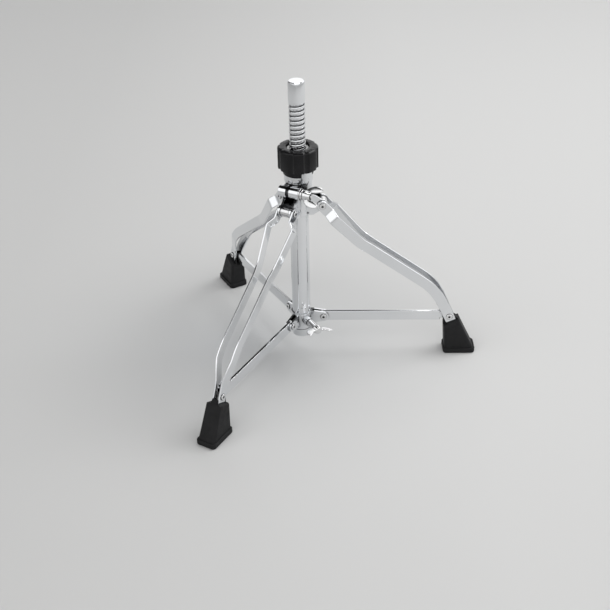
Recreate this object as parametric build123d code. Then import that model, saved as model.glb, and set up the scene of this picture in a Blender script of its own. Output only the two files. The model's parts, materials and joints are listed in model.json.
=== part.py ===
from build123d import *
import math
import os

# Folding tripod base of a drum throne: three double-bar legs hang from an upper
# casting on a central tube, three braces tie them to a collar that slides on the
# tube, and a threaded seat rod rises through a lobed lock nut.
# Millimetres, +Z up.  The origin is on the tube axis at floor level.

# --- driving dimensions -------------------------------------------------------
LEG_AZIMUTHS = {"a": 0, "b": 120, "c": 240}
GAP = 0.3                      # clear space between faces that move past each other
FIT = 0.08                     # radial clearance of a running fit
PRESS = 0.03                   # drawn gap of a tight fit
SLIDE_FIT = 0.1                # radial clearance of the sliding collar

TUBE_R = 15.0
TUBE_WALL = 1.6
TUBE_BOTTOM = 40.0
TUBE_TOP = 320.0

ROD_R = 12.7                   # one inch post at the top
CREST_R = 12.5                 # crests of the screw below it
ROD_PITCH = 7.4
ROD_BOTTOM = 190.0
THREAD_TOP = 448.0
ROD_TOP = 478.0

LEG_PIVOT = (36.4, 279.8)      # (radius, height) of the pin at the top of a leg
FOOT_PIN = (244.8, 67.5)       # (radius, height) of the pin just above the rubber foot
BRACE_PIN = (36.2, 70.0)       # (radius, height) of the pin on the sliding collar
UPPER_BEND = (96.9, 213.0)     # corners of the leg's centre line, rounded below
LOWER_BEND = (218.8, 124.0)
TIP = (254.3, 45.0)
BAR_WIDTH = 17.5
BAR_THICK = 3.0
CLEVIS_HALF = 13.0             # bar centre to leg plane, at the casting
FLARE_HALF = 22.5              # just below the jog
RUN_HALF = 12.8                # along the straight run
TIP_HALF = 5.2                 # inside the rubber foot

PIN_R = 3.5
RIVET_HEAD_R = 5.2
RIVET_HEAD_H = 1.8
RIVET_HOLE_R = 1.9             # the rivets are hollow at their ends
RIVET_HOLE_DEPTH = 3.0

BRACE_HEIGHT = 18.0
BRACE_THICK = 4.0
BRACE_LENGTH = 199.0           # collar pin to the free end, short of the foot pin

SLEEVE_R = 16.8
SLEEVE_BOTTOM = 263.5
LUG_TIP_R = 9.5
BRACE_LUG_TIP_R = 8.6
LUG_THICK = 3.0
LUG_OUT = CLEVIS_HALF - BAR_THICK / 2 - GAP
SPACER_R = 8.0

CLAMP_AZIMUTH = 243
CLAMP_Z = (303.0, 321.0)
CLAMP_R = 21.0
CLAMP_SLOT = 5.6
EAR_OFFSET = 31.0              # tube axis to ear axis
EAR_R = 8.75
EAR_LEFT = 16.0                # outer end of each ear, measured along the bolt
EAR_RIGHT = 19.0
BOLT_R = 3.9
BOLT_HEAD_R = 6.0              # sunk in the left ear
BOLT_HEAD_DEPTH = 5.0
WASHER_THICK = 1.8
LOCK_WASHER_THICK = 3.8
NUT_HUB = (8.2, 6.2)           # radius of the wing nut's hub, at its foot and at its end
NUT_WING = (24.0, 13.0, 11.0, 3.4)    # reach, spread, width and thickness of one wing
NUT_TURN = -45                 # how the wings stand about the bolt

COLLAR_R = 22.5
COLLAR_Z = (321.3, 331.7)
NECK_R = 19.0
NECK_TOP = 344.0
BOSS_AZIMUTH = 304
BOSS_R = 9.0
BOSS_OFFSET = 21.5
BOSS_BOTTOM = 312.0

NUT_SKIRT_R = 23.5
NUT_Z = (332.0, 342.0, 375.5)  # skirt bottom, lobe bottom, top
NUT_LOBE_R = 31.5
NUT_LOBES = 8
FLUTE_AZIMUTH = 25.5
NUT_RECESS_R = 16.5
NUT_RECESS_DEPTH = 3.5
INSERT_R = 16.3

BRACE_HUB_Z = (60.0, 82.0)
LOCK_AZIMUTH = 300             # direction of the screw that locks the sliding collar
LOCK_Z = 71.0
LOCK_R = 4.0
LOCK_BOSS = (7.5, 27.0)        # radius of its boss, and how far the boss reaches from the axis
LOCK_NECK = (6.5, 49.0)
LOCK_HUB = (7.5, 5.5)
LOCK_WING = (18.0, 17.5, 11.0, 3.6)   # reach, spread, width and thickness of one wing
LOCK_WING_START = 48.0
LOCK_TURN = 79                 # how the wings stand about the screw
GROOVE_AZIMUTH = 276
GROOVE_Z = 97.0
GROOVE_SIZE = (10.0, 3.4)
GROOVE_DEPTH = 0.8
CAP_WALL = 0.9
CAP_FLOOR = 2.2
CAP_DEPTH = 11.0

FOOT_TOP = 68.0
FOOT_LIP_TOP = 9.5
FOOT_CENTRE = 263.5            # radius of the middle of the shoe
FOOT_LENGTH = 53.0
FOOT_WIDTH = 34.0
NOTCH_DEPTH = 10.5             # open mouth of the shoe, below the foot pin along the leg
LOBE_HALF = 13.2               # half width of the two side lobes beside the mouth
LOBE_ROUND = 5.0
RELIEF_DEPTH = 15.0            # slot for the end of the brace, below the foot pin
HORN_HALF = 5.2                # half width of the end horns that stand above the mouth


def spin(shape, azimuth):
    """Turn a shape made at azimuth 0 about the tube axis."""
    return Rot(0, 0, azimuth) * shape


def side_face(points):
    """Closed outline of (radius, height) points, standing in the plane of leg a."""
    return Plane.XZ * make_face(Polyline(*points, close=True))


def slab(face, low, high):
    """Stretch a face in the plane of leg a from tangential offset low to high."""
    return Pos(0, low, 0) * extrude(face, amount=-(high - low))


def disc_face(centre, radius):
    return Plane.XZ * (Pos(*centre) * Circle(radius))


def cross_pin(centre, radius, low, high):
    """Cylinder across the leg plane, through a (radius, height) point."""
    return slab(disc_face(centre, radius), low, high)


def ring(outer, inner, low, high):
    tube = Cylinder(outer, high - low, align=(Align.CENTER, Align.CENTER, Align.MIN))
    bore = Cylinder(inner, high - low, align=(Align.CENTER, Align.CENTER, Align.MIN))
    return Pos(0, 0, low) * (tube - bore)


def disc(radius, low, high):
    return Pos(0, 0, low) * Cylinder(radius, high - low,
                                     align=(Align.CENTER, Align.CENTER, Align.MIN))


def cone(low_radius, high_radius, low, high):
    return Pos(0, 0, low) * Cone(low_radius, high_radius, high - low,
                                 align=(Align.CENTER, Align.CENTER, Align.MIN))


def unit(start, end):
    dx, dz = end[0] - start[0], end[1] - start[1]
    length = math.hypot(dx, dz)
    return dx / length, dz / length


# --- central column -----------------------------------------------------------
def main_tube():
    """Tube with a short vertical groove that stops the sliding collar."""
    tube = ring(TUBE_R, TUBE_R - TUBE_WALL, TUBE_BOTTOM, TUBE_TOP)
    groove = extrude(SlotOverall(*GROOVE_SIZE), amount=GROOVE_DEPTH, both=True)
    groove = Pos(TUBE_R, 0, GROOVE_Z) * Rot(0, 90, 0) * groove
    return tube - spin(groove, GROOVE_AZIMUTH)


def tube_cap():
    """Cup pressed over the bottom end of the tube."""
    cup = disc(TUBE_R + CAP_WALL, TUBE_BOTTOM - CAP_FLOOR, TUBE_BOTTOM + CAP_DEPTH)
    cup = fillet(cup.edges().group_by(Axis.Z)[0], 1.5)
    return cup - disc(TUBE_R, TUBE_BOTTOM, TUBE_BOTTOM + CAP_DEPTH + 1)


def leg_lug(side):
    """One cheek of the clevis that carries a leg, on the side +1 or -1."""
    r, z = LEG_PIVOT
    tip = LUG_TIP_R
    root = TUBE_R + 0.6
    outline = side_face([(root, SLEEVE_BOTTOM + 0.5), (22, SLEEVE_BOTTOM + 0.5), (r - 4, z - tip + 0.6),
                         (r, z - tip), (r, z + tip), (27, 296), (root, 300)])
    cheek = slab(outline + disc_face(LEG_PIVOT, tip), 0, LUG_THICK)
    offset = LUG_OUT - LUG_THICK if side > 0 else -LUG_OUT
    return Pos(0, offset, 0) * cheek


def clamp_frame(shape):
    """Place a shape drawn along +Z so that it lies along the clamp bolt."""
    frame = Plane(origin=(EAR_OFFSET, 0, sum(CLAMP_Z) / 2), x_dir=(0, 0, 1), z_dir=(0, 1, 0))
    return spin(frame * shape, CLAMP_AZIMUTH)


def hub_casting():
    """Upper casting: sleeve, three clevises and a split clamp with two round ears."""
    middle = sum(CLAMP_Z) / 2
    height = CLAMP_Z[1] - CLAMP_Z[0]
    body = disc(SLEEVE_R, SLEEVE_BOTTOM, CLAMP_Z[0]) + disc(CLAMP_R, *CLAMP_Z)
    for azimuth in LEG_AZIMUTHS.values():
        for side in (-1, 1):
            body += spin(leg_lug(side), azimuth)
        web = Pos(SLEEVE_R - 3, 0, 282) * Box(8, 2 * LUG_OUT, 26)
        body += spin(web, azimuth)
    ears = disc(EAR_R, -EAR_LEFT, EAR_RIGHT)
    ears = chamfer(ears.edges(), 0.8)
    body += clamp_frame(ears)
    neck = Pos(23, 0, middle) * Box(14, 22, height - 2)
    body += spin(neck, CLAMP_AZIMUTH)
    slot = Pos(30, 0, middle + 4) * Box(40, CLAMP_SLOT, height + 8)
    body -= spin(slot, CLAMP_AZIMUTH)
    body -= disc(TUBE_R, 260, 325)
    body -= clamp_frame(disc(BOLT_R + FIT, -30, 30))
    body -= clamp_frame(disc(BOLT_HEAD_R + FIT, -EAR_LEFT - 1, -EAR_LEFT + BOLT_HEAD_DEPTH))
    for azimuth in LEG_AZIMUTHS.values():
        body -= spin(cross_pin(LEG_PIVOT, PIN_R + FIT, -20, 20), azimuth)
    return body


def leg_spacer():
    """Barrel between the two cheeks of a clevis."""
    half = LUG_OUT - LUG_THICK
    barrel = cross_pin(LEG_PIVOT, SPACER_R, -half, half)
    return barrel - cross_pin(LEG_PIVOT, PIN_R + FIT, -20, 20)


def receiver_collar():
    """Stepped collar on top of the tube, with a vertical key boss that flanks the nut's skirt."""
    collar = disc(COLLAR_R, *COLLAR_Z) + disc(NECK_R, COLLAR_Z[1], NECK_TOP)
    boss = disc(BOSS_R, BOSS_BOTTOM, NUT_Z[1] - GAP)
    boss = fillet(boss.edges().group_by(Axis.Z)[0], 3)
    boss = Pos(BOSS_OFFSET, 0, 0) * boss - disc(NUT_SKIRT_R + GAP, COLLAR_Z[1], NUT_Z[1])
    collar += spin(boss, BOSS_AZIMUTH)
    below = disc(CLAMP_R + GAP, BOSS_BOTTOM - 5, COLLAR_Z[0])
    return collar - below - disc(14.8, COLLAR_Z[0] - 5, NECK_TOP)


def rod_bushing():
    return ring(14.8, CREST_R + FIT, COLLAR_Z[0], NECK_TOP - 1)


# --- clamp hardware -----------------------------------------------------------
def clamp_bolt():
    """Socket-head bolt, its head sunk flush in the left ear."""
    head = disc(BOLT_HEAD_R, -EAR_LEFT, -EAR_LEFT + BOLT_HEAD_DEPTH)
    head = chamfer(head.edges().group_by(Axis.Z)[0], 0.6)
    socket = Pos(0, 0, -EAR_LEFT) * extrude(RegularPolygon(2.9, 6), amount=3)
    shank = disc(BOLT_R, -EAR_LEFT + BOLT_HEAD_DEPTH, EAR_RIGHT + 20)
    return clamp_frame(head + shank - socket)


def clamp_washer():
    washer = disc(9.8, EAR_RIGHT, EAR_RIGHT + WASHER_THICK) - disc(BOLT_R + FIT, 0, 40)
    return clamp_frame(chamfer(washer.edges().group_by(Axis.Z)[-1].sort_by(SortBy.LENGTH)[-1], 0.5))


def clamp_lock_washer():
    start = EAR_RIGHT + WASHER_THICK
    washer = disc(8.4, start, start + LOCK_WASHER_THICK) - disc(BOLT_R + FIT, 0, 40)
    return clamp_frame(chamfer(washer.edges().group_by(Axis.Z)[-1].sort_by(SortBy.LENGTH)[-1], 1.0))


def wing(reach, spread, width, thick):
    """Flat blade that leans out from the axis as it rises, in the XZ plane."""
    path = Polyline((3.5, 2), (spread * 0.75, 5), (spread, reach - width / 2))
    blade = Plane.XZ * trace(path, width)
    tip = Plane.XZ * (Pos(spread, reach - width / 2) * Circle(width / 2))
    knee = Plane.XZ * (Pos(spread * 0.75, 5) * Circle(width / 2))
    solid = extrude(blade + tip + knee, amount=thick / 2, both=True)
    return fillet(solid.edges().filter_by(lambda e: e.length > width), thick / 2 - 0.6)


def clamp_wing_nut():
    """Wing nut whose two blades sweep out along the bolt."""
    start = EAR_RIGHT + WASHER_THICK + LOCK_WASHER_THICK + GAP
    hub = disc(NUT_HUB[0], start, start + 5) + cone(*NUT_HUB, start + 5, start + 12)
    blade = Pos(0, 0, start + 4) * wing(*NUT_WING)
    nut = hub + blade + Rot(0, 0, 180) * blade
    nut -= disc(BOLT_R + FIT, start - 1, start + 40)
    return clamp_frame(Rot(0, 0, NUT_TURN) * nut)


# --- lock nut and seat rod ----------------------------------------------------
def lock_nut_grip():
    """Eight-lobed grip over a round skirt, hollow where it covers the collar neck."""
    skirt_z, lobe_z, top = NUT_Z
    body = disc(NUT_LOBE_R, lobe_z, top)
    body = chamfer(body.edges().group_by(Axis.Z)[-1], 2.4)
    flute = Pos(NUT_LOBE_R + 6.6, 0, lobe_z - 1) * Cylinder(
        8.6, top - lobe_z + 2, align=(Align.CENTER, Align.CENTER, Align.MIN))
    for i in range(NUT_LOBES):
        body -= spin(flute, FLUTE_AZIMUTH + i * 360 / NUT_LOBES)
    body += disc(NUT_SKIRT_R, skirt_z, lobe_z)
    body -= disc(NECK_R + GAP, skirt_z, NECK_TOP + 1)
    body -= disc(INSERT_R, NECK_TOP, top)
    return body - disc(NUT_RECESS_R + 1.5, top - NUT_RECESS_DEPTH, top)


def lock_nut_insert():
    """Metal thread insert moulded into the grip."""
    return ring(INSERT_R, CREST_R + FIT, NECK_TOP + 1, NUT_Z[2] - NUT_RECESS_DEPTH + 1)


def threaded_rod():
    """Seat rod: rounded screw crests, drawn as rings, below a plain spigot."""
    depth, half, slope = 1.1, 0.9, 0.6
    root = CREST_R - depth
    points = [(0, ROD_BOTTOM), (CREST_R - 1.5, ROD_BOTTOM), (CREST_R, ROD_BOTTOM + 1.5)]
    turns = int((THREAD_TOP - ROD_BOTTOM) / ROD_PITCH)
    for i in range(turns):
        z = THREAD_TOP - (turns - i - 0.5) * ROD_PITCH
        points += [(CREST_R, z - half - slope), (root, z - half)]
        points += [(root, z + half), (CREST_R, z + half + slope)]
    points += [(CREST_R, THREAD_TOP - 0.4), (ROD_R, THREAD_TOP)]
    points += [(ROD_R, ROD_TOP - 1.5), (ROD_R - 1.5, ROD_TOP), (0, ROD_TOP)]
    return revolve(Plane.XZ * make_face(Polyline(*points, close=True)), Axis.Z)


def rod_stop():
    """Disc fixed to the foot of the rod, too wide for the bushing."""
    return disc(TUBE_R - TUBE_WALL - GAP, ROD_BOTTOM - 4, ROD_BOTTOM)


# --- sliding brace collar -----------------------------------------------------
def lock_frame(shape):
    """Place a shape drawn along +Z so that it points outward along the locking screw."""
    return spin(Pos(0, 0, LOCK_Z) * Rot(0, 90, 0) * shape, LOCK_AZIMUTH)


def brace_lug():
    """Pair of cheeks that carry one brace, with a slanting shoulder to the sleeve."""
    r, z = BRACE_PIN
    tip = BRACE_LUG_TIP_R
    root, shoulder = TUBE_R + 0.5, BRACE_HUB_Z[1] - 0.5
    outline = side_face([(root, shoulder), (21, shoulder), (r, z + tip), (r, z - tip),
                         (26, 60), (root, 56)]) + disc_face(BRACE_PIN, tip)
    inner = BRACE_THICK / 2 + GAP
    cheeks = slab(outline, inner, inner + LUG_THICK) + slab(outline, -inner - LUG_THICK, -inner)
    web = Pos(SLEEVE_R, 0, 71) * Box(4, 2 * inner + 1, 20)
    return cheeks + web


def brace_hub():
    """Collar that slides on the tube, with three clevises, a threaded boss and arched gaps."""
    body = disc(SLEEVE_R, *BRACE_HUB_Z)
    arch = Plane.YZ * make_face(Polyline((-6.2, 59), (0, 78), (6.2, 59), close=True))
    arch = Pos(TUBE_R - 2, 0, 0) * extrude(arch, amount=10)
    for i in range(6):
        body -= spin(arch, 30 + 60 * i)
    for azimuth in LEG_AZIMUTHS.values():
        body += spin(brace_lug(), azimuth)
    body += lock_frame(disc(LOCK_BOSS[0], TUBE_R, LOCK_BOSS[1]))
    body -= disc(TUBE_R + SLIDE_FIT, 50, 90)
    body -= lock_frame(disc(LOCK_R + FIT, TUBE_R - 2, LOCK_BOSS[1] + 1))
    for azimuth in LEG_AZIMUTHS.values():
        body -= spin(cross_pin(BRACE_PIN, PIN_R + PRESS, -12, 12), azimuth)
    return body


def brace_wing_bolt():
    """Radial locking screw with a broad pair of wings."""
    shank = disc(LOCK_R, TUBE_R + GAP, LOCK_BOSS[1] + 3)
    neck = disc(LOCK_NECK[0], LOCK_BOSS[1] + GAP, LOCK_NECK[1])
    hub = cone(*LOCK_HUB, LOCK_NECK[1] - 2, LOCK_NECK[1] + 8)
    blade = Pos(0, 0, LOCK_WING_START) * wing(*LOCK_WING)
    bolt = shank + neck + hub + blade + Rot(0, 0, 180) * blade
    return lock_frame(Rot(0, 0, LOCK_TURN) * bolt)


def brace_bar():
    """Flat brace on edge, rounded about its pin on the collar."""
    ux, uz = unit(BRACE_PIN, FOOT_PIN)
    end = (BRACE_PIN[0] + ux * (BRACE_LENGTH - 5), BRACE_PIN[1] + uz * (BRACE_LENGTH - 5))
    face = Plane.XZ * trace(Line(BRACE_PIN, end), BRACE_HEIGHT)
    nose_half = BRACE_HEIGHT / 2 - 4
    nose = Plane.XZ * trace(Line(end, (end[0] + 5 * ux, end[1] + 5 * uz)), 2 * nose_half)
    bar = slab(face + disc_face(BRACE_PIN, BRACE_HEIGHT / 2) + nose, -BRACE_THICK / 2, BRACE_THICK / 2)
    return bar - cross_pin(BRACE_PIN, PIN_R + FIT, -5, 5)


def rivet_ends(pin, centre, face):
    """Add a low hollow head to both ends of a pin that reaches from -face to +face."""
    end = face + RIVET_HEAD_H
    for low, high in ((-end, -face), (face, end)):
        head = cross_pin(centre, RIVET_HEAD_R, low, high)
        rim = head.edges().filter_by(GeomType.CIRCLE).sort_by(Axis.Y)[0 if low < 0 else -1]
        pin += chamfer(rim, 0.7)
    for low, high in ((-end, RIVET_HOLE_DEPTH - end), (end - RIVET_HOLE_DEPTH, end)):
        pin -= cross_pin(centre, RIVET_HOLE_R, low, high)
    return pin


def brace_rivet():
    """Pin through both cheeks of a brace clevis, with a low head at each end."""
    face = BRACE_THICK / 2 + GAP + LUG_THICK
    pin = cross_pin(BRACE_PIN, PIN_R, -face, face)
    return rivet_ends(pin, BRACE_PIN, face)


# --- legs ---------------------------------------------------------------------
def leg_side_face():
    """Outline of a leg bar in the leg plane: three straight runs and two bends."""
    centre = FilletPolyline(LEG_PIVOT, UPPER_BEND, LOWER_BEND, TIP, radius=[70, 100])
    return Plane.XZ * trace(centre, BAR_WIDTH) + disc_face(LEG_PIVOT, BAR_WIDTH / 2)


def leg_plan_plane():
    """Plane along the chord of a leg; its local Y runs across the leg."""
    ux, uz = unit(LEG_PIVOT, FOOT_PIN)
    return Plane(origin=(LEG_PIVOT[0], 0, LEG_PIVOT[1]), x_dir=(ux, 0, uz), z_dir=(-uz, 0, ux))


def leg_bar(side):
    """One of the two bars of a leg: close at the casting, flared, then drawn in."""
    stations = [(-12, CLEVIS_HALF), (15.5, CLEVIS_HALF), (27, FLARE_HALF), (108, RUN_HALF),
                (246, RUN_HALF), (282, TIP_HALF), (335, TIP_HALF)]
    path = FilletPolyline(*[(u, side * t) for u, t in stations], radius=[5, 6, 60, 30, 30])
    band = leg_plan_plane() * trace(path, BAR_THICK)
    bar = extrude(leg_side_face(), amount=40, both=True) & extrude(band, amount=90, both=True)
    bar -= cross_pin(LEG_PIVOT, PIN_R + PRESS, -40, 40)
    return bar - cross_pin(FOOT_PIN, PIN_R + PRESS, -40, 40)


def leg_rivet():
    """Pivot pin through both bars, both cheeks and the barrel."""
    face = CLEVIS_HALF + BAR_THICK / 2
    pin = cross_pin(LEG_PIVOT, PIN_R, -face, face)
    return rivet_ends(pin, LEG_PIVOT, face)


def foot_rivet(side):
    """Short hollow rivet through one bar at the foot; the brace end swings between the two."""
    inner, outer = TIP_HALF - BAR_THICK / 2, TIP_HALF + BAR_THICK / 2
    head = cross_pin(FOOT_PIN, RIVET_HEAD_R, outer, outer + RIVET_HEAD_H)
    head = chamfer(head.edges().filter_by(GeomType.CIRCLE).sort_by(Axis.Y)[-1], 0.7)
    rivet = cross_pin(FOOT_PIN, PIN_R, inner, outer) + head
    end = outer + RIVET_HEAD_H
    rivet -= cross_pin(FOOT_PIN, RIVET_HOLE_R, end - RIVET_HOLE_DEPTH, end)
    return rivet if side > 0 else mirror(rivet, Plane.XZ)


def rubber_foot():
    """Tapered rubber shoe with a proud lip, open at the top around the two leg bars."""
    lip = Pos(FOOT_CENTRE, 0, 0) * extrude(RectangleRounded(FOOT_LENGTH, FOOT_WIDTH, 6),
                                           amount=FOOT_LIP_TOP)
    lip = fillet(lip.edges().group_by(Axis.Z)[0], 2)
    lip = chamfer(lip.edges().group_by(Axis.Z)[-1], 1.2)
    base = Pos(FOOT_CENTRE, 0, FOOT_LIP_TOP - 3) * RectangleRounded(FOOT_LENGTH - 4, FOOT_WIDTH - 4, 5)
    top = Pos(247.0, 0, FOOT_TOP) * RectangleRounded(24, 25, 4)
    shoe = lip + loft([base, top])
    slope = Box(30, 60, 12, align=(Align.MIN, Align.CENTER, Align.MIN))
    shoe -= Pos(253.0, 0, FOOT_TOP) * Rot(0, 35, 0) * slope

    ux, uz = unit(LOWER_BEND, TIP)
    toe = Plane(origin=(TIP[0], 0, TIP[1]), x_dir=(-uz, 0, ux), z_dir=(ux, 0, uz))
    pin_height = math.dist(TIP, FOOT_PIN)
    above_pin = pin_height + 30
    opening = BAR_WIDTH + 0.4
    half = TIP_HALF + BAR_THICK / 2 + 0.1
    mouth = NOTCH_DEPTH - pin_height
    notch = Box(90, 60, above_pin, align=(Align.CENTER, Align.CENTER, Align.MAX))
    horns = Box(90, 2 * HORN_HALF, above_pin, align=(Align.CENTER, Align.CENTER, Align.MAX))
    lobes = Pos(0, 0, mouth + 40) * extrude(Plane.YZ * RectangleRounded(2 * LOBE_HALF, 80, LOBE_ROUND),
                                            amount=45, both=True)
    notch = toe * (Pos(0, 0, mouth + LOBE_ROUND) * (notch - horns) - lobes)
    pocket = Box(opening, 2 * half, above_pin, align=(Align.CENTER, Align.CENTER, Align.MAX))
    pocket = toe * (Pos(0, 0, 0.4) * pocket)
    relief = Box(44, BRACE_THICK + 2.4, above_pin, align=(Align.MAX, Align.CENTER, Align.MAX))
    relief = toe * (Pos(opening / 2, 0, RELIEF_DEPTH - pin_height) * relief)
    return shoe - notch - pocket - relief


NODES = {
    "main_tube": main_tube,
    "tube_cap": tube_cap,
    "hub_casting": hub_casting,
    "receiver_collar": receiver_collar,
    "rod_bushing": rod_bushing,
    "clamp_bolt": clamp_bolt,
    "clamp_washer": clamp_washer,
    "clamp_lock_washer": clamp_lock_washer,
    "clamp_wing_nut": clamp_wing_nut,
    "lock_nut_grip": lock_nut_grip,
    "lock_nut_insert": lock_nut_insert,
    "threaded_rod": threaded_rod,
    "rod_stop": rod_stop,
    "brace_hub": brace_hub,
    "brace_wing_bolt": brace_wing_bolt,
}

LEG_NODES = {
    "leg_bar_left": lambda: leg_bar(1),
    "leg_bar_right": lambda: leg_bar(-1),
    "leg_rivet": leg_rivet,
    "leg_spacer": leg_spacer,
    "foot_rivet_left": lambda: foot_rivet(1),
    "foot_rivet_right": lambda: foot_rivet(-1),
    "rubber_foot": rubber_foot,
    "brace_bar": brace_bar,
    "brace_rivet": brace_rivet,
}


def main():
    os.makedirs("parts", exist_ok=True)
    for name, make in NODES.items():
        export_step(make(), f"parts/{name}.step")
    for name, make in LEG_NODES.items():
        shape = make()
        for leg, azimuth in LEG_AZIMUTHS.items():
            export_step(spin(shape, azimuth), f"parts/{name}_{leg}.step")


main()
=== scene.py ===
import json
import math

import bmesh
import bpy
from mathutils import Matrix, Vector


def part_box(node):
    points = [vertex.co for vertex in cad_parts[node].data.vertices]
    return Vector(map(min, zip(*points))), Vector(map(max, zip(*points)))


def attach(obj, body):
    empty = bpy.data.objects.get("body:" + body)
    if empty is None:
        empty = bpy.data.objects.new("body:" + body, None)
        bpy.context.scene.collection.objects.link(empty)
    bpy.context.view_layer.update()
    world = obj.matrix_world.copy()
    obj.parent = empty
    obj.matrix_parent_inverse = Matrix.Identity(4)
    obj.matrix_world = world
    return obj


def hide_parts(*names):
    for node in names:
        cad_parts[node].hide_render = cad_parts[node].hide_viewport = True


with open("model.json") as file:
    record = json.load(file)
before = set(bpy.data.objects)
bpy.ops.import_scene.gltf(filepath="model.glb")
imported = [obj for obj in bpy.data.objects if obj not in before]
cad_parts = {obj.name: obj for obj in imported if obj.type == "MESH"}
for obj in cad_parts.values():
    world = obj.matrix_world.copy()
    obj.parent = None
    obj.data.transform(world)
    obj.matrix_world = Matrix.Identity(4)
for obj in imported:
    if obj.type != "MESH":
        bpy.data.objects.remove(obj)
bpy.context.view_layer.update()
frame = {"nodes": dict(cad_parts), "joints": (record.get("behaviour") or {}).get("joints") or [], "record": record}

nodes = frame["nodes"]
joints = {joint["name"]: joint for joint in frame["joints"]}
node_slot = {part["node"]: part["material_slot"] for part in frame["record"]["subparts"]}
MM = 0.001


# ---------------------------------------------------------------- mesh helpers
def new_piece(name, verts, faces, body, slot, smooth_angle):
    """A mesh piece that rides on a body, smooth except where faces turn by more than the angle."""
    mesh = bpy.data.meshes.new(name)
    mesh.from_pydata([tuple(v) for v in verts], [], faces)
    mesh.validate()
    bm = bmesh.new()
    bm.from_mesh(mesh)
    bmesh.ops.recalc_face_normals(bm, faces=bm.faces)
    bm.to_mesh(mesh)
    bm.free()
    mesh.set_sharp_from_angle(angle=math.radians(smooth_angle))
    mesh.polygons.foreach_set("use_smooth", [True] * len(mesh.polygons))
    obj = bpy.data.objects.new(name, mesh)
    bpy.context.scene.collection.objects.link(obj)
    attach(obj, body)
    obj.data.materials.append(MATERIALS[slot])
    return obj


def loft(rings, closed=False):
    """Verts and faces of a skin over rings of equal length, capped unless closed on itself."""
    count = len(rings[0])
    verts = [p for ring in rings for p in ring]
    faces = []
    spans = len(rings) if closed else len(rings) - 1
    for i in range(spans):
        low, high = i * count, ((i + 1) % len(rings)) * count
        for j in range(count):
            k = (j + 1) % count
            faces.append((low + j, low + k, high + k, high + j))
    if not closed:
        faces.append(tuple(range(count))[::-1])
        faces.append(tuple((len(rings) - 1) * count + j for j in range(count)))
    return verts, faces


def polar_ring(radius, z, count):
    """Ring about Z whose radius may depend on the angle in degrees."""
    ring = []
    for j in range(count):
        angle = 360.0 * j / count
        r = radius(angle) if callable(radius) else radius
        a = math.radians(angle)
        ring.append(Vector((r * math.cos(a), r * math.sin(a), z)))
    return ring


def smoothstep(x):
    x = min(max(x, 0.0), 1.0)
    return x * x * (3 - 2 * x)


# ---------------------------------------------------------------- node helpers
def material(name):
    mat = bpy.data.materials.new(name)
    mat.use_nodes = True
    tree = mat.node_tree
    return mat, tree, tree.nodes["Principled BSDF"]


def mapped(tree, scale=(1, 1, 1), shift=(0, 0, 0)):
    """Object coordinates in metres, scaled and shifted per axis."""
    coord = tree.nodes.new("ShaderNodeTexCoord")
    mapping = tree.nodes.new("ShaderNodeMapping")
    mapping.inputs["Scale"].default_value = scale
    mapping.inputs["Location"].default_value = shift
    tree.links.new(coord.outputs["Object"], mapping.inputs["Vector"])
    return mapping.outputs["Vector"]


def noise(tree, vector, scale, detail=4.0, roughness=0.55):
    node = tree.nodes.new("ShaderNodeTexNoise")
    node.inputs["Scale"].default_value = scale
    node.inputs["Detail"].default_value = detail
    node.inputs["Roughness"].default_value = roughness
    tree.links.new(vector, node.inputs["Vector"])
    return node.outputs["Fac"]


def gradient(tree, vector, kind="LINEAR"):
    node = tree.nodes.new("ShaderNodeTexGradient")
    node.gradient_type = kind
    tree.links.new(vector, node.inputs["Vector"])
    return node.outputs["Fac"]


def ramp(tree, value, stops):
    """Colour ramp from (position, grey or colour) stops."""
    node = tree.nodes.new("ShaderNodeValToRGB")
    elements = node.color_ramp.elements
    while len(elements) < len(stops):
        elements.new(0.5)
    for element, (position, colour) in zip(elements, stops):
        element.position = position
        element.color = (*colour, 1) if isinstance(colour, tuple) else (colour, colour, colour, 1)
    tree.links.new(value, node.inputs["Fac"])
    return node.outputs["Color"]


def combine(tree, operation, first, second):
    """Multiply two colours, or take the larger of each channel."""
    node = tree.nodes.new("ShaderNodeVectorMath")
    node.operation = operation
    tree.links.new(first, node.inputs[0])
    tree.links.new(second, node.inputs[1])
    return node.outputs["Vector"]


def bump(tree, shader, layers):
    """Stack of (height, strength, distance) bumps feeding the shader's normal."""
    normal = None
    for height, strength, distance in layers:
        node = tree.nodes.new("ShaderNodeBump")
        node.inputs["Strength"].default_value = strength
        node.inputs["Distance"].default_value = distance
        tree.links.new(height, node.inputs["Height"])
        if normal is not None:
            tree.links.new(normal, node.inputs["Normal"])
        normal = node.outputs["Normal"]
    tree.links.new(normal, shader.inputs["Normal"])


def paint_recess_shade(tree, colour, reach, stops):
    """Darken a colour where nearby surfaces crowd it: painted shade in hollows and between parts."""
    crowd = tree.nodes.new("ShaderNodeAmbientOcclusion")
    crowd.samples = 8
    crowd.inputs["Distance"].default_value = reach
    return combine(tree, "MULTIPLY", colour, ramp(tree, crowd.outputs["AO"], stops))


# ---------------------------------------------------------------- materials
# painted shade in hollows: how far a surface looks for neighbours, and how bright it stays from crowded to open
PAINTED_RECESS_SHADE = (0.03, [(0.10, 0.20), (0.50, 0.56), (0.88, 1.0)])
BORE_PAINTED_SHADE = (0.03, [(0.10, 0.08), (0.62, 0.30), (0.92, 1.0)])
THREAD_PAINTED_SHADE = (0.0045, [(0.30, 0.04), (0.62, 0.30), (0.88, 1.0)])


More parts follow.
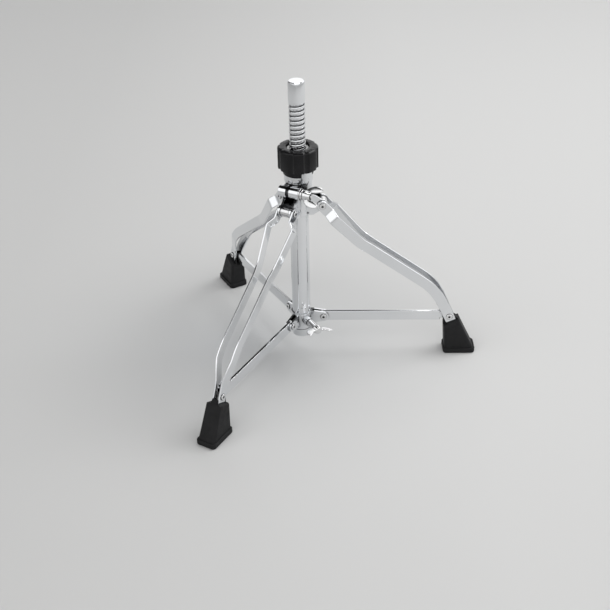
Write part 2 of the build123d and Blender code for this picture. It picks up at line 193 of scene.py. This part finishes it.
def plate(name, light, dark, rough, wave, wave_scale, recess_shade):
    """Polished plate: slight drift in tone, painted shade in hollows, faint smears in the gloss and a soft
    waviness.
    """
    mat, tree, shader = material(name)
    vector = mapped(tree)
    drift = noise(tree, vector, 9.0, 2.0)
    # painted shade: the plate's colour darkens where nearby surfaces crowd it
    tone_and_painted_shade = paint_recess_shade(tree, ramp(tree, drift, [(0.3, dark), (0.7, light)]), *recess_shade)
    tree.links.new(tone_and_painted_shade, shader.inputs["Base Color"])
    shader.inputs["Metallic"].default_value = 1.0
    smear = noise(tree, mapped(tree, (1.0, 1.0, 3.0)), 60.0, 6.0, 0.7)
    gloss = ramp(tree, smear, [(0.35, rough[0]), (0.8, rough[1])])
    tree.links.new(gloss, shader.inputs["Roughness"])
    waves = noise(tree, vector, wave_scale, 2.0)
    scratches = noise(tree, mapped(tree, (40.0, 40.0, 900.0)), 3.0, 3.0)
    bump(tree, shader, [(waves, wave, 0.0006), (scratches, 0.03, 0.00005)])
    return mat


def moulded(name, tones, gloss, specular=None, relief=()):
    """Moulded plastic or rubber: mottled tone, uneven gloss and layers of fine relief."""
    mat, tree, shader = material(name)
    vector = mapped(tree)
    *pattern, stops = tones
    tree.links.new(ramp(tree, noise(tree, vector, *pattern), stops), shader.inputs["Base Color"])
    *pattern, stops = gloss
    tree.links.new(ramp(tree, noise(tree, vector, *pattern), stops), shader.inputs["Roughness"])
    if specular is not None:
        shader.inputs["Specular IOR Level"].default_value = specular
    if relief:
        layers = [(noise(tree, vector, scale, detail), strength, distance)
                  for scale, detail, strength, distance in relief]
        bump(tree, shader, layers)
    return mat


CHROME = ((0.82, 0.83, 0.845), (0.77, 0.785, 0.805))
ZINC = ((0.80, 0.80, 0.80), (0.72, 0.725, 0.735))
MATERIALS = {
    "chrome_tube": plate("chrome_tube", *CHROME, (0.03, 0.09), 0.05, 35.0, PAINTED_RECESS_SHADE),
    "chrome_cast": plate("chrome_cast", *CHROME, (0.05, 0.14), 0.22, 120.0, PAINTED_RECESS_SHADE),
    "chrome_bar": plate("chrome_bar", *CHROME, (0.05, 0.12), 0.08, 40.0, PAINTED_RECESS_SHADE),
    "chrome_rod": plate("chrome_rod", *CHROME, (0.04, 0.11), 0.08, 90.0, THREAD_PAINTED_SHADE),
    "steel_zinc": plate("steel_zinc", *ZINC, (0.12, 0.24), 0.15, 150.0, BORE_PAINTED_SHADE),
    "black_grip": moulded(
        "black_grip",
        tones=(55.0, 3.0, [(0.3, (0.004, 0.004, 0.0045)), (0.75, (0.008, 0.008, 0.009))]),
        gloss=(240.0, 4.0, [(0.3, 0.15), (0.75, 0.24)]),
        specular=0.23,
        relief=[(2200.0, 2.0, 0.18, 0.0002)]),
    "black_rubber": moulded(
        "black_rubber",
        tones=(38.0, 5.0, 0.65, [(0.3, (0.005, 0.005, 0.0055)), (0.8, (0.012, 0.012, 0.013))]),
        gloss=(130.0, 4.0, [(0.3, 0.5), (0.75, 0.68)]),
        specular=0.25,
        relief=[(180.0, 3.0, 0.15, 0.0005), (1500.0, 2.0, 0.25, 0.0002)]),
    # the frame's name for this slot says white, but the bushing is a dark one
    "white_bush": moulded(
        "white_bush",
        tones=(80.0, 3.0, [(0.3, 0.09), (0.75, 0.13)]),
        gloss=(300.0, 3.0, [(0.3, 0.4), (0.75, 0.55)])),
}


# ---------------------------------------------------------------- CAD nodes
for name, obj in nodes.items():
    obj.data.materials.clear()
    obj.data.materials.append(MATERIALS[node_slot[name]])


def soften(obj, width, segments=2, clamp=True, angle=32):
    """Join the imported corners, merge flat triangles, and round the crisp edges a little."""
    weld = obj.modifiers.new("weld", "WELD")
    weld.merge_threshold = 0.00002
    flat = obj.modifiers.new("flat", "DECIMATE")
    flat.decimate_type = "DISSOLVE"
    flat.angle_limit = math.radians(0.6)
    edge = obj.modifiers.new("bevel", "BEVEL")
    edge.width = width
    edge.segments = segments
    edge.limit_method = "ANGLE"
    edge.angle_limit = math.radians(angle)
    edge.use_clamp_overlap = clamp
    edge.harden_normals = False
    shade = obj.modifiers.new("shade", "WEIGHTED_NORMAL")
    shade.weight = 60
    shade.keep_sharp = True


SOFT_EDGES = {
    "leg_bar": 0.0012, "brace_bar": 0.0010, "hub_casting": 0.0006, "receiver_collar": 0.0006,
    "brace_hub": 0.0004, "rubber_foot": 0.0010, "leg_spacer": 0.0004, "tube_cap": 0.0004,
    "leg_rivet": 0.0002, "foot_rivet": 0.0002, "brace_rivet": 0.0002, "clamp_washer": 0.0002,
    "clamp_lock_washer": 0.0002, "clamp_bolt": 0.0002, "main_tube": 0.0003,
}
for name, obj in nodes.items():
    width = next((w for stem, w in SOFT_EDGES.items() if name.startswith(stem)), None)
    if name.startswith("leg_bar"):
        # only the square edges of the strip, nearly to a full round; its folds stay crisp
        soften(obj, width, segments=4, clamp=False, angle=62)
    elif width:
        soften(obj, width, segments=4 if "bar" in name else 2)


# ---------------------------------------------------------------- seat rod
SPIGOT = 30 * MM              # length of the plain top
PITCH = 7.4 * MM
THREAD_DEPTH = 2.1 * MM
CROWN = 0.6 * MM              # how far the shoulders of a crest fall below its middle
ROOT, FLANK = 0.24, 0.20      # half the root and one flank, as shares of half the pitch
FADE = 4 * MM                 # length over which the thread dies out at each end
ROD_SIDES, RINGS_PER_TURN = 64, 24


def seat_rod():
    """Right-hand rounded screw under a plain spigot."""
    low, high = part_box("threaded_rod")
    spigot_r, spigot_bottom = high.x, high.z - SPIGOT
    crest_r = spigot_r - 0.2 * MM

    def thread(z):
        def radius(angle):
            phase = ((z - spigot_bottom) / PITCH - angle / 360.0) % 1.0
            away = abs(phase - 0.5) * 2
            groove = 1 - smoothstep((away - ROOT) / FLANK)
            shoulder = max((1 - away) / (1 - ROOT - FLANK), 0) ** 2 * (away > ROOT + FLANK)
            fade = smoothstep((spigot_bottom - z) / FADE) * smoothstep((z - low.z - MM) / FADE)
            return crest_r - fade * (THREAD_DEPTH * groove + CROWN * shoulder)
        return radius

    rings = [polar_ring(crest_r - 1.6 * MM, low.z, ROD_SIDES),
             polar_ring(crest_r - 0.2 * MM, low.z + 1.4 * MM, ROD_SIDES)]
    start = low.z + 1.7 * MM
    end = spigot_bottom - 0.4 * MM
    steps = int((spigot_bottom - low.z - 2 * MM) / PITCH * RINGS_PER_TURN)
    for i in range(steps + 1):
        z = start + (end - start) * i / steps
        rings.append(polar_ring(thread(z), z, ROD_SIDES))
    for radius, z in ((spigot_r, spigot_bottom), (spigot_r, high.z - 1.6 * MM),
                      (spigot_r - 0.4 * MM, high.z - 0.7 * MM), (spigot_r - 1.6 * MM, high.z)):
        rings.append(polar_ring(radius, z, ROD_SIDES))
    verts, faces = loft(rings)
    obj = new_piece("seat_rod", verts, faces, "rod", "chrome_rod", smooth_angle=30)
    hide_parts("threaded_rod")


seat_rod()


# ---------------------------------------------------------------- lock nut
LOBES, SIDES_PER_LOBE = 8, 48
LOBE_PITCH = 360.0 / LOBES
LOBE_FLATNESS = 0.45          # 0 gives lobes on a circle and 1 gives flat ones
LOBE_MEET = 13.4              # degrees from the middle of a lobe where flat and circle meet
FLUTE_CENTRE, FLUTE_R, FLUTE_TURN = 38.1 * MM, 8.6 * MM, 25.5
SKIRT_R, SKIRT = 23.5 * MM, 10 * MM
SOCKET_R, SOCKET = 19.3 * MM, 13 * MM
RECESS_R, RECESS_DEPTH = 18 * MM, 3.5 * MM
BORE_R = 16.3 * MM


def lobed(outer, drop=0.0):
    """Radius of the lobed outline, drawn in by drop, as a function of the angle."""
    half = LOBE_PITCH / 2

    def radius(angle):
        away = math.radians((angle - FLUTE_TURN + half) % LOBE_PITCH - half)
        lobe = abs(math.radians(half) - abs(away))
        flat = math.cos(math.radians(LOBE_MEET)) / math.cos(lobe)
        r = outer * (1 - LOBE_FLATNESS + LOBE_FLATNESS * flat)
        reach = FLUTE_R ** 2 - (FLUTE_CENTRE * math.sin(away)) ** 2
        if reach > 0:
            r = min(r, FLUTE_CENTRE * math.cos(away) - math.sqrt(reach))
        return r - drop
    return radius


def nut_grip():
    """Lobed grip with a chamfered top, a recess round the rod and a plain skirt."""
    low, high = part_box("lock_nut_grip")
    outer, bottom, top = high.x, low.z, high.z
    lobes, floor = bottom + SKIRT, top - RECESS_DEPTH
    profile = [
        (SOCKET_R, bottom), (SKIRT_R - 0.6 * MM, bottom), (SKIRT_R, bottom + 0.6 * MM),
        (SKIRT_R, lobes - 0.4 * MM), (SKIRT_R + 0.4 * MM, lobes), (lobed(outer, 0.9 * MM), lobes),
        (lobed(outer, 0.2 * MM), lobes + 0.3 * MM), (lobed(outer), lobes + MM),
        (lobed(outer), top - 3 * MM), (lobed(outer, 0.1 * MM), top - 2.7 * MM),
        (lobed(outer, 2.6 * MM), top - 0.3 * MM), (lobed(outer, 3.2 * MM), top),
        (RECESS_R + 0.7 * MM, top), (RECESS_R + 0.2 * MM, top - 0.2 * MM),
        (RECESS_R, top - 0.7 * MM), (RECESS_R, floor), (BORE_R, floor),
        (BORE_R, bottom + SOCKET), (SOCKET_R, bottom + SOCKET),
    ]
    rings = [polar_ring(radius, z, LOBES * SIDES_PER_LOBE) for radius, z in profile]
    verts, faces = loft(rings, closed=True)
    obj = new_piece("nut_grip", verts, faces, "lock_nut", "black_grip", smooth_angle=28)
    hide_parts("lock_nut_grip")


nut_grip()


# ---------------------------------------------------------------- wing castings
BLADE_STEPS, BLADE_SIDES = 22, 28
NECK = 0.80                   # a blade's width at its hub, as a share of its full width
FULL_AT = 0.6                 # share of its length where it has its full width
TIP_FROM = 0.62               # share of its length where it begins to close to a round tip
HUB_SIDES = 72


def squared(x):
    """Cosine or sine pushed outwards, so that a circle fills more of its square."""
    return math.copysign(abs(x) ** 0.75, x)


def blade(start, knee, tip, width, thick, bow):
    """Rounded blade along a bent centre line in the local XZ plane, bowed a little along Y."""
    rings = []
    for i in range(BLADE_STEPS + 1):
        t = math.sin(0.5 * math.pi * i / BLADE_STEPS)
        a, b, c = (1 - t) ** 2, 2 * t * (1 - t), t * t
        x = a * start[0] + b * knee[0] + c * tip[0]
        z = a * start[1] + b * knee[1] + c * tip[1]
        run_x = (1 - t) * (knee[0] - start[0]) + t * (tip[0] - knee[0])
        run_z = (1 - t) * (knee[1] - start[1]) + t * (tip[1] - knee[1])
        painted_left_shade = Vector((run_z, 0, -run_x)).normalized()
        end = max((t - TIP_FROM) / (1 - TIP_FROM), 0.0)
        close = math.sqrt(max(1 - end ** 2.2, 0.0004))
        half_width = 0.5 * width * (NECK + (1 - NECK) * smoothstep(t / FULL_AT)) * close
        half_thick = 0.5 * thick * (1.5 - 0.7 * t) * (0.45 + 0.55 * close)
        centre = Vector((x, bow * t * t, z))
        ring = []
        for j in range(BLADE_SIDES):
            angle = 2 * math.pi * j / BLADE_SIDES
            side = painted_left_shade * (half_width * squared(math.cos(angle)))
            ring.append(centre + side + Vector((0, half_thick * squared(math.sin(angle)), 0)))
        rings.append(ring)
    return loft(rings)


def axes(origin, x, z):
    """Matrix that takes local X, Y, Z and the local origin into the object's frame."""
    y = z.cross(x)
    return Matrix.Translation(origin) @ Matrix((x, y, z)).transposed().to_4x4()


def wing_casting(name, node, joint, upright, turn, hub, wing, bored):
    """Hub of revolution on a joint's axis with two blades, blended together like a die casting.

    Local Z runs out along the axis from the point abreast of the column, and local X starts
    at upright and is then turned about Z.
    """
    shells = [loft([polar_ring(radius, z, HUB_SIDES) for radius, z in hub], closed=bored)]
    for half_turn in (0, 180):
        verts, skin = blade(**wing)
        spun = Matrix.Rotation(math.radians(half_turn), 4, "Z")
        shells.append(([spun @ v for v in verts], skin))
    anchor, axis = Vector(joint["pos_m"]), Vector(joint["axis"])
    stand = axes(anchor - axis * anchor.dot(axis), Vector(upright), axis)
    turned = stand @ Matrix.Rotation(math.radians(turn), 4, "Z")
    verts, faces = [], []
    for shell, skin in shells:
        first = len(verts)
        verts += [turned @ v for v in shell]
        faces += [tuple(first + k for k in face) for face in skin]
    obj = new_piece(name, verts, faces, joint["child"], node_slot[node], smooth_angle=30)
    blend = obj.modifiers.new("blend", "REMESH")
    blend.mode = "VOXEL"
    blend.voxel_size = 0.35 * MM
    blend.use_smooth_shade = True
    relax = obj.modifiers.new("relax", "SMOOTH")
    relax.factor = 0.5
    relax.iterations = 8
    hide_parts(node)


NUT_START = 24.9 * MM         # where the wing nut begins on the clamp bolt
NUT_BORE_R = 4.7 * MM
wing_casting(
    "wing_nut", "clamp_wing_nut", joints["clamp_nut_spin"], (0, 0, 1), turn=-45, bored=True,
    hub=[(NUT_BORE_R, NUT_START), (0.0078, NUT_START), (0.0083, NUT_START + 0.6 * MM),
         (0.0083, NUT_START + 4.2 * MM), (0.0076, NUT_START + 5.2 * MM),
         (0.0064, NUT_START + 11 * MM), (0.0060, NUT_START + 12 * MM),
         (NUT_BORE_R, NUT_START + 12 * MM)],
    wing=dict(start=(0.0040, NUT_START + 6 * MM), knee=(0.0130, NUT_START + 6.5 * MM),
              tip=(0.0132, NUT_START + 28 * MM), width=0.0110, thick=0.0032, bow=-0.0014))

wing_casting(
    "collar_wing_bolt", "brace_wing_bolt", joints["brace_lock_spin"], (0, 0, -1), turn=79,
    bored=False,
    hub=[(0.0031, 0.0153), (0.0036, 0.0158), (0.0036, 0.0273), (0.0060, 0.0275),
         (0.0065, 0.0280), (0.0065, 0.0460), (0.0074, 0.0480), (0.0076, 0.0495),
         (0.0060, 0.0560), (0.0048, 0.0569)],
    wing=dict(start=(0.0040, 0.0520), knee=(0.0150, 0.0500), tip=(0.0215, 0.0640),
              width=0.0105, thick=0.0034, bow=0.0016))


# ---------------------------------------------------------------- stage
def paper_floor():
    """Pale paper with painted shadow: darker under the object and a little darker to the left."""
    bpy.ops.mesh.primitive_circle_add(vertices=96, radius=60, fill_type="NGON")
    floor = bpy.context.object
    floor.name = "floor"
    mat, tree, shader = material("floor_paper_painted_shadow")
    # painted shadow, darkest under the object
    painted_shadow_pool = gradient(tree, mapped(tree, (1.9, 2.3, 1.0), (0.22, -0.04, 0.0)), "QUADRATIC_SPHERE")
    paper = ramp(tree, painted_shadow_pool, [(0.0, (0.70, 0.70, 0.695)), (0.5, (0.61, 0.615, 0.615)),
                              (1.0, (0.51, 0.52, 0.53))])
    # painted shade, a little darker towards the left
    painted_left_shade = gradient(tree, mapped(tree, (0.9, 1.0, 1.0), (0.5, 0.0, 0.0)))
    paper = combine(tree, "MULTIPLY", paper, ramp(tree, painted_left_shade, [(0.0, 0.88), (0.75, 1.0)]))
    tree.links.new(paper, shader.inputs["Base Color"])
    shader.inputs["Roughness"].default_value = 0.85
    shader.inputs["Specular IOR Level"].default_value = 0.2
    floor.data.materials.append(mat)


def studio():
    """White walls with a dark ceiling, a dark corner behind left and a screen behind right."""
    world = bpy.data.worlds.new("studio")
    bpy.context.scene.world = world
    world.use_nodes = True
    sky = world.node_tree
    background = sky.nodes["Background"]
    direction = sky.nodes.new("ShaderNodeTexCoord").outputs["Generated"]

    def side_of(axis, offset, stops):
        """Grey that changes across the plane where direction . axis = offset."""
        dot = sky.nodes.new("ShaderNodeVectorMath")
        dot.operation = "DOT_PRODUCT"
        dot.inputs[1].default_value = axis
        sky.links.new(direction, dot.inputs[0])
        shift = sky.nodes.new("ShaderNodeMath")
        shift.operation = "ADD"
        shift.inputs[1].default_value = 0.5 - offset
        sky.links.new(dot.outputs["Value"], shift.inputs[0])
        return ramp(sky, shift.outputs["Value"], stops)

    split = sky.nodes.new("ShaderNodeSeparateXYZ")
    sky.links.new(direction, split.inputs["Vector"])
    walls = ramp(sky, split.outputs["Z"], [(0.0, 0.66), (0.10, 0.76), (0.30, 1.22), (0.95, 1.32)])
    edge = [(0.2, 0.0), (0.8, 1.0)]
    # the walls end lower behind the object than in front of it; above them the room is dark
    ceiling = side_of((0.85, 1.25, 5.0), 3.6, [(0.30, 1.0), (0.62, 0.03)])
    # a white screen stands behind to the right, in front of the dark ceiling
    right = side_of((10.0, 0.0, 0.0), 0.85, edge)
    below = side_of((0.0, 0.0, -5.0), -3.75, edge)
    screen = combine(sky, "MULTIPLY", right, below)
    # the corner behind and to the left is open to the dark room
    behind = side_of((0.0, 5.0, 0.0), 0.15, edge)
    left = side_of((-5.0, -2.3, 0.0), 0.0, edge)
    corner = ramp(sky, combine(sky, "MULTIPLY", behind, left), [(0.0, 1.0), (1.0, 0.16)])
    lit = combine(sky, "MULTIPLY", walls, combine(sky, "MAXIMUM", ceiling, screen))
    sky.links.new(combine(sky, "MULTIPLY", lit, corner), background.inputs["Color"])
    background.inputs["Strength"].default_value = 1.0


def softbox(name, spot, aim, size, power):
    light = bpy.data.lights.new(name, "AREA")
    light.shape = "RECTANGLE"
    light.size, light.size_y = size
    light.energy = power
    obj = bpy.data.objects.new(name, light)
    obj.location = spot
    obj.rotation_euler = (Vector(aim) - Vector(spot)).to_track_quat("-Z", "Y").to_euler()
    bpy.context.scene.collection.objects.link(obj)


paper_floor()
studio()
softbox("key", (2.6, 0.9, 2.9), aim=(0.3, 0, 0.1), size=(1.8, 1.6), power=34)
softbox("top", (0.3, 0.5, 3.6), aim=(0, 0, 0.1), size=(1.6, 1.2), power=26)


# ---------------------------------------------------------------- camera
CAMERA_SPOT = Vector((0.0059, -1.4346, 1.0142))
TURN = math.radians(0.84)
PITCH_DOWN = math.radians(32.79)
ROLL = math.radians(1.24)


def photo_camera():
    """Camera at the photograph's place, pitched down, rolled, and turned about the column."""
    data = bpy.data.cameras.new("camera")
    data.sensor_width = 36.0
    data.lens = 60.85
    data.clip_start, data.clip_end = 0.05, 200
    camera = bpy.data.objects.new("camera", data)
    bpy.context.scene.collection.objects.link(camera)
    right = Vector((1, 0, 0))
    up = Vector((0, math.sin(PITCH_DOWN), math.cos(PITCH_DOWN)))
    back = Vector((0, -math.cos(PITCH_DOWN), math.sin(PITCH_DOWN)))
    rolled_right = right * math.cos(ROLL) - up * math.sin(ROLL)
    rolled_up = right * math.sin(ROLL) + up * math.cos(ROLL)
    basis = Matrix((rolled_right, rolled_up, back)).transposed().to_4x4()
    camera.matrix_world = Matrix.Rotation(TURN, 4, "Z") @ Matrix.Translation(CAMERA_SPOT) @ basis
    return camera


bpy.context.scene.camera = photo_camera()
bpy.context.scene.view_settings.view_transform = "Standard"
